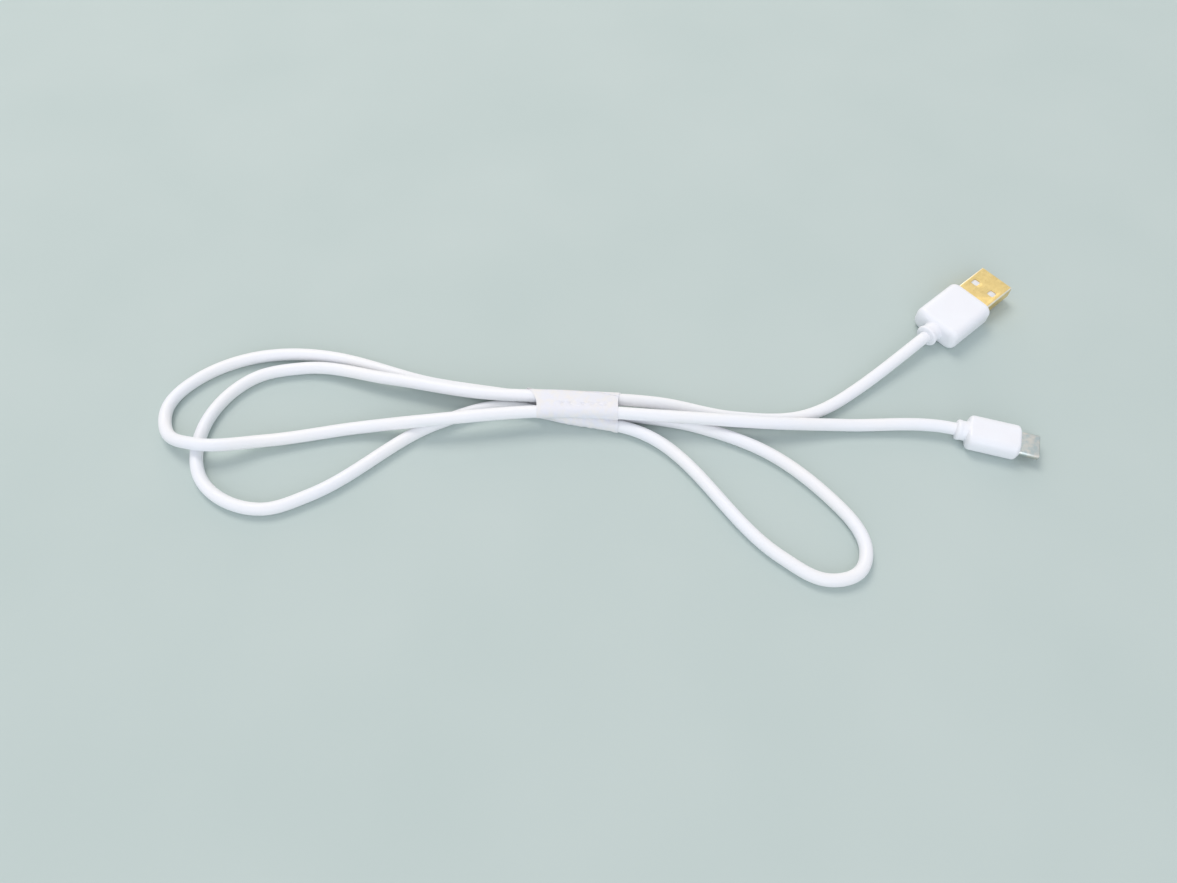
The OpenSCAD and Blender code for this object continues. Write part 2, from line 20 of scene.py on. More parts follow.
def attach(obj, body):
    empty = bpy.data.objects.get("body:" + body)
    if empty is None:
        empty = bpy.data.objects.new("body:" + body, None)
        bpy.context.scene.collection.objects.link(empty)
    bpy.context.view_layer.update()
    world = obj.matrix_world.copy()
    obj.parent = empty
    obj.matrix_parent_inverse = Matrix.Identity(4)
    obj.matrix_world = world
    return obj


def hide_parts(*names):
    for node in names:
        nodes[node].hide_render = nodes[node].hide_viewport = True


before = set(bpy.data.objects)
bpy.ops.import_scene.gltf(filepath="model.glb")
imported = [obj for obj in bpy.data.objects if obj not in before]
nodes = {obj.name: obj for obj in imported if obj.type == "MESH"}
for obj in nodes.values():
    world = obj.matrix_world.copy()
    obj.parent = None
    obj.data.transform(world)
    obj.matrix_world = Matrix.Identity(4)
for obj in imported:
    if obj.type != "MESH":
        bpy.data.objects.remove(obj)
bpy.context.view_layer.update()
MM = 0.001
print("nodes in the frame:", len(nodes))

# %% [markdown]
# ## Camera
#
# The camera looks down at the cable from the near side. Its tilt, height and lens are fixed first,
# because everything else is judged through it.

# %% Place the camera
CAMERA_PLACE = (-118.14 * MM, -196.79 * MM, 240.4 * MM)
CAMERA_TILT = radians(32.11)
CAMERA_LENS, CAMERA_SENSOR = 28.75, 36
CAMERA_CLIP = 5 * MM

lens = bpy.data.cameras.new("camera")
lens.lens = CAMERA_LENS
lens.sensor_width = CAMERA_SENSOR
lens.clip_start = CAMERA_CLIP
camera = bpy.data.objects.new("camera", lens)
camera.location = CAMERA_PLACE
camera.rotation_euler = (CAMERA_TILT, 0, 0)
bpy.context.scene.collection.objects.link(camera)
bpy.context.scene.camera = camera
bpy.context.scene.view_settings.view_transform = "Standard"
print("camera height in mm:", round(CAMERA_PLACE[2] / MM))

# %% [markdown]
# ## The plugs' places
#
# Each plug is described about its own axis: X runs to its tip, Y across it, and its zero lies
# near the middle of its grip. `in_plug` turns such a point into the shared frame. The tables hold
# these sizes, all taken from the CAD source:
#
# - `place` and `angle`: where the plug's zero lies, and which way it points, in degrees.
# - `w`, `t`, `rear`, `front`: the grip's width, thickness and two ends. `r` rounds its long edges,
#   and `plan_r` and `side_r` round its ends as seen from above and from the side.
# - `collar_d`, `collar_l`: the round collar behind the grip. `bead_d`, `bead_l` and `bead_rise`:
#   the bead at the collar's mouth, and how far it stands above the mouth.
# - `shell_w`, `shell_t`, `shell_r`, `shell_rear`: the metal shell and its end inside the grip.
# - `core_w`, `core_t`, `core_rear`: the hard core behind the shell.
# - `jacket_end`: where the cord's jacket ends, inside the core.

# %% Sizes and places of the plugs
CORD_D = 3.8

PLUG_A = dict(
    place=(0, 0), angle=40,
    w=16.0, t=7.9, rear=-10.05, front=9.15, r=2.6, plan_r=2.0, side_r=2.0,
    collar_d=6.2, collar_l=3.8, bead_d=7.0, bead_l=1.4, bead_rise=0.6,
    shell_w=12.0, shell_t=4.5, shell_r=0.6, shell_rear=3.25,
    core_w=12.4, core_t=5.2, core_rear=-7.55, jacket_end=-5.85,
)
PLUG_C = dict(
    place=(2.5, -46.5), angle=-16,
    w=10.7, t=6.5, rear=-7.65, front=7.65, r=2.6, plan_r=1.6, side_r=1.0,
    collar_d=5.9, collar_l=3.2, bead_d=6.2, bead_l=1.6, bead_rise=0.8,
    shell_w=8.25, shell_t=2.4, shell_r=1.19, shell_rear=3.95,
    core_w=8.5, core_t=4.6, core_rear=-5.05, jacket_end=-3.45,
)


def in_plug(plug, x, y=0.0, z=0.0):
    """A point in a plug's own axes, in millimetres, as a point of the shared frame in metres."""
    turn = radians(plug["angle"])
    mx, my = plug["place"]
    return Vector((
        (mx + x * cos(turn) - y * sin(turn)) * MM,
        (my + x * sin(turn) + y * cos(turn)) * MM,
        (plug["t"] / 2 + z) * MM,
    ))


def collar_mouth(plug):
    """Where the collar ends and the cord goes in, along the plug's own axis."""
    return plug["rear"] - plug["collar_l"]


print("plug axes are", PLUG_A["t"] / 2, "and", PLUG_C["t"] / 2, "mm above the table")

# %% [markdown]
# ## The cord
#
# The route repeats the points of the CAD source. At each point the direction leans towards the
# shorter stretch beside it, which keeps the loops' ends round. Each stretch is the same cubic as
# in the CAD, sampled more finely, and a round tube is swept along it.
#
# A cord laid by hand bends evenly, which directions found point by point don't quite do. So ten
# points get headings of their own, in degrees. Their slope stays, and so do the points, and the
# cord moves by no more than about half a millimetre from the CAD's.

# %% Route of the cord
# Heights of the cord's middle: on the table, in the band's lower layer, and in its upper layer.
LIES, HELD, HIGH = 1.9, 2.1, 5.9
ROUTE = [
    (-34, -27.5, 2.2), (-53.5, -38.3, LIES), (-74, -38.5, 1.95), (-96, -33.8, 2.6),
    (-122, -33.8, 5.8), (-152, -31.6, 5.3), (-180, -25.6, 4.2), (-208, -20, 2), (-222, -23.5, LIES),
    (-234.5, -42.5, LIES), (-231.5, -60, LIES), (-211.5, -70, LIES), (-199, -65.5, LIES),
    (-163.5, -40.5, 1.95), (-146, -34.6, HELD), (-126, -38.2, HELD), (-104, -43.4, HELD),
    (-64, -85.5, LIES), (-53, -91.9, LIES), (-43.2, -89.4, LIES), (-40.6, -83, LIES),
    (-48, -67, LIES), (-63.5, -52, LIES), (-85, -42, LIES), (-112, -37, HELD), (-140, -30.8, HELD),
    (-168, -25.4, LIES), (-195.5, -16.5, LIES), (-224.5, -16, LIES), (-241, -25, LIES),
    (-247, -35, 2), (-245, -44, 2.5), (-234, -50.5, 6), (-214.5, -47.5, 3), (-188, -42.6, 2.4),
    (-166, -42.2, 6), (-128, -38.8, HIGH), (-90, -41, 5.8), (-62, -42.5, 4.8), (-40.5, -41.6, 2.4),
]
# By the point's number, where the rectangular plug's collar mouth is 0.
HEADINGS = {
    1: -143.5, 13: 26, 18: -37, 19: -9, 20: 45, 21: 86, 22: 129, 28: 166, 29: -165, 30: -136,
}


def plug_direction(plug):
    """The way that the plug points, in the shared frame."""
    turn = radians(plug["angle"])
    return Vector((cos(turn), sin(turn), 0))


knots = [in_plug(PLUG_A, collar_mouth(PLUG_A))]
knots += [Vector(p) * MM for p in ROUTE]
knots += [in_plug(PLUG_C, collar_mouth(PLUG_C))]

directions = [-plug_direction(PLUG_A)]
for i in range(1, len(knots) - 1):
    before, after = knots[i] - knots[i - 1], knots[i + 1] - knots[i]
    leaning = before.normalized() * after.length + after.normalized() * before.length
    directions.append(leaning.normalized())
directions.append(plug_direction(PLUG_C))
for i, heading in HEADINGS.items():
    level = directions[i].to_2d().length
    directions[i].x = level * cos(radians(heading))
    directions[i].y = level * sin(radians(heading))

# The jacket goes on straight inside each collar, up to its clamp.
knots = [in_plug(PLUG_A, PLUG_A["jacket_end"])] + knots + [in_plug(PLUG_C, PLUG_C["jacket_end"])]
directions = [directions[0]] + directions + [directions[-1]]


def on_route(i, t):
    """A point on stretch i of the cord, a cubic with its ends' directions, at t from 0 to 1."""
    start, end = knots[i], knots[i + 1]
    reach = (end - start).length
    return (
        (2 * t**3 - 3 * t**2 + 1) * start + (t**3 - 2 * t**2 + t) * reach * directions[i]
        + (3 * t**2 - 2 * t**3) * end + (t**3 - t**2) * reach * directions[i + 1]
    )


STRETCH_STEPS = 24
path = [
    on_route(i, k / STRETCH_STEPS) for i in range(len(knots) - 1) for k in range(STRETCH_STEPS)
] + [knots[-1]]

# %% Turn a bmesh into an object
SHARP_EDGE = radians(40)


def finish_mesh(name, mesh):
    """The bmesh as an object at the origin, shaded smooth but for its sharp edges."""
    bmesh.ops.recalc_face_normals(mesh, faces=mesh.faces)
    for face in mesh.faces:
        face.smooth = True
    for edge in mesh.edges:
        edge.smooth = not edge.is_manifold or edge.calc_face_angle(0) < SHARP_EDGE
    data = bpy.data.meshes.new(name)
    mesh.to_mesh(data)
    mesh.free()
    obj = bpy.data.objects.new(name, data)
    bpy.context.scene.collection.objects.link(obj)
    return obj


print("meshes are finished with normals outward and smooth shading")

# %% Sweep the cord's jacket along the route
CORD_SIDES = 28


def sweep(name, line, radius, sides):
    """A closed tube round a line, with a UV map in metres: along the tube and round it."""
    mesh = bmesh.new()
    layer = mesh.loops.layers.uv.new("along")
    turns = [2 * pi * k / sides for k in range(sides)]
    loops, reached = [], [0.0]
    for i, point in enumerate(line):
        ahead = (line[min(i + 1, len(line) - 1)] - line[max(i - 1, 0)]).normalized()
        across = Vector((0, 0, 1)).cross(ahead).normalized()
        up = ahead.cross(across)
        loops.append([
            mesh.verts.new(point + radius * (across * cos(a) + up * sin(a))) for a in turns
        ])
        if i:
            reached.append(reached[-1] + (point - line[i - 1]).length)
    for i in range(len(loops) - 1):
        for k in range(sides):
            j = (k + 1) % sides
            face = mesh.faces.new((loops[i][k], loops[i + 1][k], loops[i + 1][j], loops[i][j]))
            places = ((i, k), (i + 1, k), (i + 1, k + 1), (i, k + 1))
            for corner, (ring, side) in zip(face.loops, places):
                corner[layer].uv = (reached[ring], side / sides * 2 * pi * radius)
    mesh.faces.new(loops[0])
    mesh.faces.new(loops[-1])
    return finish_mesh(name, mesh)


cord = sweep("cord", path, CORD_D / 2 * MM, CORD_SIDES)
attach(cord, "root")
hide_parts("cord_jacket")
print("cord faces:", len(cord.data.polygons))

# %% [markdown]
# ## Moulded grips
#
# A grip is one closed skin, lofted from rings across the plug. It runs from the collar's mouth
# over the bead and the collar, round the grip, in through the opening that the metal shell comes
# out of, and back inside to the cord's bore. A cube with bevels would be quicker, but it can't
# change from a round collar to a flat body. So one ring of edges is extruded again and again, and
# each new ring is set in its place. All rings have as many corners, so the skin is plain quads.

# %% Tools for lofting
# Steps round a corner, along a wide side and along a narrow one.
ARC, WIDE, NARROW = 10, 12, 6
# The least half of a straight side, so that no two corners' points fall together.
LEAST_SIDE = 0.02
WELD = 0.001 * MM


def section(half_w, half_t, r):
    """A rectangle with round corners across a plug, as (y, z) points in order."""
    r = min(r, half_w - LEAST_SIDE, half_t - LEAST_SIDE)
    arcs = []
    for sy, sz, start in ((1, 1, 0), (-1, 1, 90), (-1, -1, 180), (1, -1, 270)):
        turns = [radians(start + 90 * i / ARC) for i in range(ARC + 1)]
        arcs.append([
            (sy * (half_w - r) + r * cos(a), sz * (half_t - r) + r * sin(a)) for a in turns
        ])
    points = []
    for k, arc in enumerate(arcs):
        following = arcs[(k + 1) % 4][0]
        count = WIDE if k % 2 == 0 else NARROW
        straight = [
            tuple(a + (b - a) * i / count for a, b in zip(arc[-1], following))
            for i in range(1, count)
        ]
        points += arc + straight
    return points


def at_radius(point, radius):
    """The point, moved straight out or in to a distance from the plug's axis."""
    scale = radius / hypot(*point)
    return (point[0] * scale, point[1] * scale)


def round_like(ring, radius):
    """A circle whose points lie in the same directions as those of the ring."""
    return [at_radius(point, radius) for point in ring]


def pushed_out(ring, radius):
    """The ring, with every point inside a circle moved out to it."""
    return [at_radius(point, radius) if hypot(*point) < radius else point for point in ring]


def pulled_in(ring, radius):
    """The ring, with every point outside a circle moved in to it."""
    return [at_radius(point, radius) if hypot(*point) > radius else point for point in ring]


def loft(name, plug, rings):
    """A closed skin through rings, each an x and its (y, z) points. The last joins the first."""
    mesh = bmesh.new()
    first_x, first_ring = rings[0]
    loop = [mesh.verts.new(in_plug(plug, first_x, y, z)) for y, z in first_ring]
    edges = [mesh.edges.new(pair) for pair in zip(loop, loop[1:] + loop[:1])]
    for x, ring in rings[1:] + rings[:1]:
        made = bmesh.ops.extrude_edge_only(mesh, edges=edges)["geom"]
        fresh = {part for part in made if isinstance(part, bmesh.types.BMVert)}
        # Each corner's copy is the one fresh vertex that an edge joins it to.
        joined = [{edge.other_vert(vert) for edge in vert.link_edges} for vert in loop]
        loop = [(others & fresh).pop() for others in joined]
        for vert, (y, z) in zip(loop, ring):
            vert.co = in_plug(plug, x, y, z)
        edges = [mesh.edges.get(pair) for pair in zip(loop, loop[1:] + loop[:1])]
    bmesh.ops.remove_doubles(mesh, verts=mesh.verts, dist=WELD)
    return finish_mesh(name, mesh)


print("corners on each ring:", len(section(5, 3, 1)))

# %% Rings of a grip
FILLET_STEPS, BEAD_STEPS, ROOT_STEPS = 8, 12, 6
BORE_R = CORD_D / 2 + 0.02
# The fillet where the collar meets the grip, and how far its rear face stands out past the collar.
ROOT_R, COLLAR_STEP = 0.4, 0.02
# The gap round the metal shell, the least rim round that gap, and the small chamfer at its mouth.
SHELL_GAP, LEAST_RIM = 0.03, 0.15
CHAMFER, CHAMFER_STARTS, CHAMFER_ENDS = 0.04, 0.05, 0.15


def inset(r, d):
    """How far a face with an edge radius r has drawn in at a distance d from its end."""
    return r - (r**2 - (r - d) ** 2) ** 0.5 if d < r else 0.0


def body_section(p, depth, least_w=0, least_t=0):
    """The grip's body at a depth from either end face, no smaller than the least half sizes."""
    return section(
        max(p["w"] / 2 - inset(p["plan_r"], depth), least_w),
        max(p["t"] / 2 - inset(p["side_r"], depth), least_t),
        p["r"],
    )


def collar_rings(p, rear_face):
    """From the cord's bore over the bead and along the collar to the grip's rear face."""
    mouth, half_bead = collar_mouth(p), p["bead_l"] / 2
    collar_r, bead_r = p["collar_d"] / 2, p["bead_d"] / 2
    rings = [(mouth, round_like(rear_face, BORE_R))]
    # The bead is half an ellipse in profile. It may stand higher above the mouth than the collar.
    for i in range(BEAD_STEPS + 1):
        turn = pi * i / BEAD_STEPS
        rise = p["bead_rise"] if i < BEAD_STEPS / 2 else bead_r - collar_r
        radius = bead_r - rise + rise * sin(turn)
        rings.append((mouth + half_bead * (1 - cos(turn)), round_like(rear_face, radius)))
    for i in range(ROOT_STEPS + 1):
        turn = pi / 2 * i / ROOT_STEPS
        radius = collar_r + ROOT_R * (1 - cos(turn))
        rings.append((p["rear"] - ROOT_R * (1 - sin(turn)), pulled_in(rear_face, radius)))
    return rings


def hollow_rings(p, shell_w, shell_t):
    """In through the shell's opening, then back round the core to the cord's bore."""
    opening = section(shell_w, shell_t, p["shell_r"])
    core = section(p["core_w"] / 2, p["core_t"] / 2, p["shell_r"])
    return [
        (p["front"] - CHAMFER_STARTS, section(shell_w + CHAMFER, shell_t + CHAMFER, p["shell_r"])),
        (p["front"] - CHAMFER_ENDS, opening),
        (p["shell_rear"], opening),
        (p["shell_rear"], core),
        (p["core_rear"], core),
        (p["core_rear"], round_like(core, BORE_R)),
    ]


def grip_rings(p):
    """All rings of a grip in order: its collar, its body and the hollow inside it."""
    turns = [radians(90 * i / FILLET_STEPS) for i in range(FILLET_STEPS + 1)]
    depths = [p["plan_r"] * (1 - cos(turn)) for turn in turns]
    seat_r = p["collar_d"] / 2 + COLLAR_STEP
    rear_half = [(p["rear"] + d, pushed_out(body_section(p, d), seat_r)) for d in depths]
    shell_w, shell_t = p["shell_w"] / 2 + SHELL_GAP, p["shell_t"] / 2 + SHELL_GAP
    front_half = [
        (p["front"] - d, body_section(p, d, shell_w + LEAST_RIM, shell_t + LEAST_RIM))
        for d in reversed(depths)
    ]
    collar = collar_rings(p, rear_half[0][1])
    return collar + rear_half + front_half + hollow_rings(p, shell_w, shell_t)


print("rings of the rectangular plug's grip:", len(grip_rings(PLUG_A)))

# %% Build both grips
grip_a = loft("type_a_moulding", PLUG_A, grip_rings(PLUG_A))
grip_c = loft("type_c_moulding", PLUG_C, grip_rings(PLUG_C))
for grip, node_name in ((grip_a, "type_a_grip"), (grip_c, "type_c_grip")):
    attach(grip, "root")
    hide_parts(node_name)
    print(grip.name, "faces:", len(grip.data.polygons))

# %% [markdown]
# ## Film band
#
# The film is wound a little more than once round the four strands. At each place along the band
# the strands' outline is the hull of four discs. The film follows it tightly, except low on the
# near side: there one strand leaves the others, and the film sinks into the groove beside it.
# The winding starts low on the far side and ends on top of its own start.

# %% Outline of the strands
# The film's thickness, and the room between it and the strands.
FILM, FILM_ROOM = 0.11, 0.04
# The x of its two ends, on the far side of the strands and on the near side.
BAND_LEFT_FAR, BAND_LEFT_NEAR = -137.7, -133.7
BAND_RIGHT_FAR, BAND_RIGHT_NEAR = -107.8, -109.3
# The first stretch of each strand's way past the band, how many it takes, and steps on each.
BAND_STRETCHES, STRAND_STRETCHES, STRAND_STEPS = (4, 15, 24, 36), 4, 40
# Rays for one turn of the winding, and the bearing of the first.
AROUND, WINDING_START = 240, radians(-22)
# The groove's x where it opens and is deepest, the bearings where it fades, and its depth.
GROOVE_OPENS, GROOVE_DEEP = -130.0, -123.0
GROOVE_UPPER, GROOVE_LOWER = (radians(138), radians(158)), (radians(236), radians(262))
GROOVE_DEPTH = 2.2
HULL_TURNS, HULL_POINTS = 721, 1500
STATION_STEP = 0.5


def ramp(value, low, high):
    """0 below low, 1 above high, and a smooth step between them."""
    t = np.clip((value - low) / (high - low), 0, 1)
    return t * t * (3 - 2 * t)


def strand_line(first):
    """Points along one strand, sorted by x: rows of x, y and z in millimetres."""
    stretches = range(first, first + STRAND_STRETCHES)
    steps = [k / STRAND_STEPS for k in range(STRAND_STEPS)]
    line = np.array([on_route(i, t) for i in stretches for t in steps]) / MM
    return line[np.argsort(line[:, 0])]


strand_lines = [strand_line(first) for first in BAND_STRETCHES]
bearings = WINDING_START + np.linspace(0, 2 * np.pi, AROUND, endpoint=False)
rays = np.stack([np.cos(bearings), np.sin(bearings)], 1)


def strands_at(x):
    """(y, z) of the four strands' middles at x."""
    return np.array([
        [np.interp(x, line[:, 0], line[:, 1]), np.interp(x, line[:, 0], line[:, 2])]
        for line in strand_lines
    ])


def hull_of(middles, radius):
    """Closed outline of a string pulled tight round discs, as many points at even steps."""
    turns = np.linspace(0, 2 * np.pi, HULL_TURNS)
    out = np.stack([np.cos(turns), np.sin(turns)], 1)
    corners = middles[np.argmax(middles @ out.T, 0)] + radius * out
    run = np.append(0, np.cumsum(np.linalg.norm(np.diff(corners, axis=0), axis=1)))
    even = np.linspace(0, run[-1], HULL_POINTS, endpoint=False)
    return np.stack([np.interp(even, run, corners[:, k]) for k in (0, 1)], 1)


def groove(x):
    """How far the film sinks, as a share of the groove's depth, along each ray at x."""
    low_near = ramp(bearings, *GROOVE_UPPER) * (1 - ramp(bearings, *GROOVE_LOWER))
    return low_near * ramp(x, GROOVE_OPENS, GROOVE_DEEP)


def wrap_outline(x):
    """Outline of the film's inner face at x, one (y, z) point on each ray."""
    middles = strands_at(x)
    heart = middles.mean(0)
    radius = CORD_D / 2 + FILM_ROOM
    hull = hull_of(middles, radius) - heart
    angle = np.mod(np.arctan2(hull[:, 1], hull[:, 0]) - WINDING_START, 2 * np.pi)
    order = np.argsort(angle)
    length = np.linalg.norm(hull, axis=1)
    reach = np.interp(bearings - WINDING_START, angle[order], length[order], period=2 * np.pi)
    # From each point of the hull, the way in along the ray to the first strand.
    points = heart + rays * reach[:, None]
    offset = points[:, None] - middles
    b = (offset * rays[:, None]).sum(2)
    under_root = b * b - (offset**2).sum(2) + radius**2
    gap = np.where(under_root > 0, b - np.maximum(under_root, 0) ** 0.5, GROOVE_DEPTH).min(1)
    sunk = reach - np.clip(gap, 0, GROOVE_DEPTH) * groove(x)
    # A little smoothing along the outline rounds the groove's rims.
    sunk = (np.roll(sunk, 1) + 2 * sunk + np.roll(sunk, -1)) / 4
    return heart + rays * sunk[:, None]


stations = np.arange(BAND_LEFT_FAR - 1, BAND_RIGHT_FAR + 1 + STATION_STEP, STATION_STEP)
outlines = np.array([wrap_outline(x) for x in stations])


def outline_at(x, j):
    """The film's inner face on ray j at x, and its outward direction, as (y, z)."""
    place = (x - stations[0]) / STATION_STEP
    k = min(int(place), len(stations) - 2)
    here = outlines[k] + (outlines[k + 1] - outlines[k]) * (place - k)
    ahead = here[(j + 1) % AROUND] - here[(j - 1) % AROUND]
    ahead /= np.linalg.norm(ahead)
    return here[j % AROUND], np.array([ahead[1], -ahead[0]])


print("strand middles at x -122 mm:", strands_at(-122).round(2).tolist())
middle_heights = wrap_outline(-122)[:, 1].round(2)
print("outline at x -122 mm, from", middle_heights.min(), "to", middle_heights.max(), "mm high")

# %% Wind the film
# Steps along the film, and rays of the winding beyond its first turn.
ALONG, OVERLAP = 64, 37
# The y between which the film's two ends slant, and the share of it that takes the whole slant.
FAR_Y, NEAR_Y, SLANT_SHARE = -30.0, -42.0, 0.6
# The second layer's room over the first, and the rays over which the film climbs onto it.
LAP_ROOM, LAP_RAYS = 0.02, 10
# The loose corner: its height, the ray where it starts, and its share of the film's length.
CORNER_LIFT, CORNER_RAY, CORNER_SHARE = 0.3, AROUND + 8, 0.09
# Depth of the crumples in the groove, and their noise along x and round the winding.
CRUMPLE, CRUMPLE_X, CRUMPLE_RAY = 0.16, 0.8, 0.1
# The dents: their depth, the y they lie along, where they fade beside it and along the band, and
# the noise that scatters them.
DIMPLE, DIMPLES_Y, DIMPLES_LOWEST = 0.3, -37.4, 6.5
DIMPLES_ASIDE, DIMPLES_LEFT, DIMPLES_RIGHT = (0.3, 1.3), (-129, -127), (-114, -111)
DIMPLES_NOISE_X, DIMPLES_NOISE_Y, DIMPLES_SLICE, DIMPLES_FULL = 0.8, 0.9, 3.0, 0.35


def dimple(x, y, z):
    """Small dents, 0 to 1, pressed into the film where it spans the two upper strands."""
    between = (1 - ramp(abs(y - DIMPLES_Y), *DIMPLES_ASIDE)) * (z > DIMPLES_LOWEST)
    along = ramp(x, *DIMPLES_LEFT) * (1 - ramp(x, *DIMPLES_RIGHT))
    scatter = noise.noise((x * DIMPLES_NOISE_X, y * DIMPLES_NOISE_Y, DIMPLES_SLICE))
    return between * along * ramp(scatter, 0, DIMPLES_FULL)


def film_point(s, j, outside):
    """A point of the film: s from its left edge to its right, j round the winding."""
    far_x = BAND_LEFT_FAR + s * (BAND_RIGHT_FAR - BAND_LEFT_FAR)
    near_x = BAND_LEFT_NEAR + s * (BAND_RIGHT_NEAR - BAND_LEFT_NEAR)
    across = float(np.clip((FAR_Y - outline_at(far_x, j)[0][0]) / (FAR_Y - NEAR_Y), 0, 1))
    x = far_x + sin(pi / 2 * min(across / SLANT_SHARE, 1)) * (near_x - far_x)
    (y, z), (out_y, out_z) = outline_at(x, j)
    # The last turn lies on the first, and its left corner has come loose.
    off = FILM * outside + (FILM + LAP_ROOM) * ramp(j, AROUND - LAP_RAYS, AROUND)
    off += CORNER_LIFT * ramp(j, CORNER_RAY, AROUND + OVERLAP) * (1 - ramp(s, 0, CORNER_SHARE))
    loose = groove(x)[j % AROUND]
    off += CRUMPLE * loose * (1 + noise.noise((x * CRUMPLE_X, j * CRUMPLE_RAY, 0)))
    off -= DIMPLE * dimple(x, y, z)
    # Underneath, the film is pressed flat by the table.
    return Vector((x, y + out_y * off, max(z + out_z * off, FILM * (1 - outside)))) * MM


# A flat grid is doubled by extruding it, and then both layers are bent round the strands.
columns = AROUND + OVERLAP
mesh = bmesh.new()
bmesh.ops.create_grid(mesh, x_segments=ALONG, y_segments=columns, size=1)
made = bmesh.ops.extrude_face_region(mesh, geom=mesh.faces[:], use_keep_orig=True)["geom"]
inner_face = {part for part in made if isinstance(part, bmesh.types.BMVert)}
for vert in mesh.verts:
    s, j = (vert.co.x + 1) / 2, round((vert.co.y + 1) / 2 * columns)
    vert.co = film_point(s, j, vert not in inner_face)
film = finish_mesh("film_band", mesh)
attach(film, "root")
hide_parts("tie_band")
heights = [round(vert.co.z / MM, 2) for vert in film.data.vertices]
print("film faces:", len(film.data.polygons), "from", min(heights), "to", max(heights), "mm high")

# %% [markdown]
# ## Materials
#
# Every material is built from nodes on object coordinates, so its grain has a real size in
# millimetres. Colours are written as the sRGB values that a designer would read off a swatch.

# %% Tools for materials
# A Mix node keeps the factor and the two colours that it mixes at these places among its inputs,
# and its colour at this one among its outputs.
MIX_INPUTS, MIX_COLOUR = (0, 6, 7), 2


def srgb(r, g, b):
    """An sRGB colour, 0 to 255, as the linear RGBA that Blender's sockets hold."""
    def linear(v):
        v /= 255
        return v / 12.92 if v <= 0.04045 else ((v + 0.055) / 1.055) ** 2.4
    return (linear(r), linear(g), linear(b), 1)


class Nodes:
    """A material's node tree, with short calls to add and join nodes."""

    def __init__(self, name):
        self.material = bpy.data.materials.new(name)
        self.material.use_nodes = True
        self.tree = self.material.node_tree
        self.shader = self.tree.nodes["Principled BSDF"]
        self.coordinates = self.add("ShaderNodeTexCoord").outputs["Object"]

    def feed(self, socket, value):
        """Join a socket to another one, or give it a plain value."""
        if isinstance(value, bpy.types.NodeSocket):
            self.tree.links.new(value, socket)
        else:
            socket.default_value = value

    def add(self, kind, **inputs):
        """A new node, with its inputs by name and _ for a space."""
        made = self.tree.nodes.new(kind)
        for name, value in inputs.items():
            self.feed(made.inputs[name.replace("_", " ")], value)
        return made

    def noise(self, size_mm, detail=3.0, vector=None):
        """Noise whose features are about size_mm across."""
        return self.add(
            "ShaderNodeTexNoise", Vector=vector or self.coordinates, Scale=1 / (size_mm * MM),
            Detail=detail,
        ).outputs["Fac"]

    def spread(self, value, low, high, from_low=0.3, from_high=0.7):
        """A value between two limits, spread over another range."""
        return self.add(
            "ShaderNodeMapRange", Value=value, From_Min=from_low, From_Max=from_high,
            To_Min=low, To_Max=high,
        ).outputs["Result"]

    def math(self, operation, *values):
        """What a Math node makes of its values."""
        made = self.tree.nodes.new("ShaderNodeMath")
        made.operation = operation
        for socket, value in zip(made.inputs, values):
            self.feed(socket, value)
        return made.outputs["Value"]

    def mix(self, factor, first, second):
        """The first colour, mixed with the second by a factor."""
        made = self.tree.nodes.new("ShaderNodeMix")
        made.data_type = "RGBA"
        for index, value in zip(MIX_INPUTS, (factor, first, second)):
            self.feed(made.inputs[index], value)
        return made.outputs[MIX_COLOUR]

    def bump(self, height, distance_mm, normal=None):
        """A surface raised by a height, over another bump's surface if there is one."""
        made = self.add("ShaderNodeBump", Height=height, Distance=distance_mm * MM)
        if normal:
            self.feed(made.inputs["Normal"], normal)
        return made.outputs["Normal"]

    def join(self, socket, name):
        """Join a socket to the shader's input of that name."""
        self.tree.links.new(socket, self.shader.inputs[name])


print("white as Blender holds it:", [round(v, 3) for v in srgb(240, 239, 244)])

# %% Soft white plastics
# The parting line's half width and height, in millimetres.
PARTING_HALF, PARTING_RISE = 0.05, 0.02


def soft_white(name, colour, tint, tint_size, roughness, grain, grain_depth, parting=None):
    """Satin elastomer: a faint uneven tint, a fine moulded grain and slow waves in its gloss.

    With a parting height in millimetres, the line where the mould's halves met stands proud there.
    """
    n = Nodes(name)
    patches = n.spread(n.noise(tint_size, 2), 0, 1, 0.35, 0.7)
    n.join(n.mix(patches, colour, tint), "Base Color")
    gloss = n.noise(grain * 8, 3)
    n.join(n.spread(gloss, roughness - 0.06, roughness + 0.08), "Roughness")
    surface = n.bump(n.noise(grain, 4), grain_depth)
    if parting:
        height = n.add("ShaderNodeSeparateXYZ", Vector=n.coordinates).outputs["Z"]
        on_line = n.math("COMPARE", height, parting * MM, PARTING_HALF * MM)
        surface = n.bump(on_line, PARTING_RISE, normal=surface)
    n.join(surface, "Normal")
    n.shader.inputs["Specular IOR Level"].default_value = 0.4
    n.shader.inputs["Subsurface Weight"].default_value = 0.06
    n.shader.inputs["Subsurface Radius"].default_value = (0.9, 0.95, 1.0)
    n.shader.inputs["Subsurface Scale"].default_value = 0.4 * MM
    return n.material


cord.data.materials.append(soft_white(
    "white_cord", srgb(244, 245, 249), srgb(246, 245, 245), tint_size=22, roughness=0.42,
    grain=0.35, grain_depth=0.012,
))
for grip, plug in ((grip_a, PLUG_A), (grip_c, PLUG_C)):
    grip.data.materials.append(soft_white(
        grip.name, srgb(245, 246, 250), srgb(243, 243, 247), tint_size=9, roughness=0.36,
        grain=0.22, grain_depth=0.008, parting=plug["t"] / 2,
    ))
print("soft white plastics made")

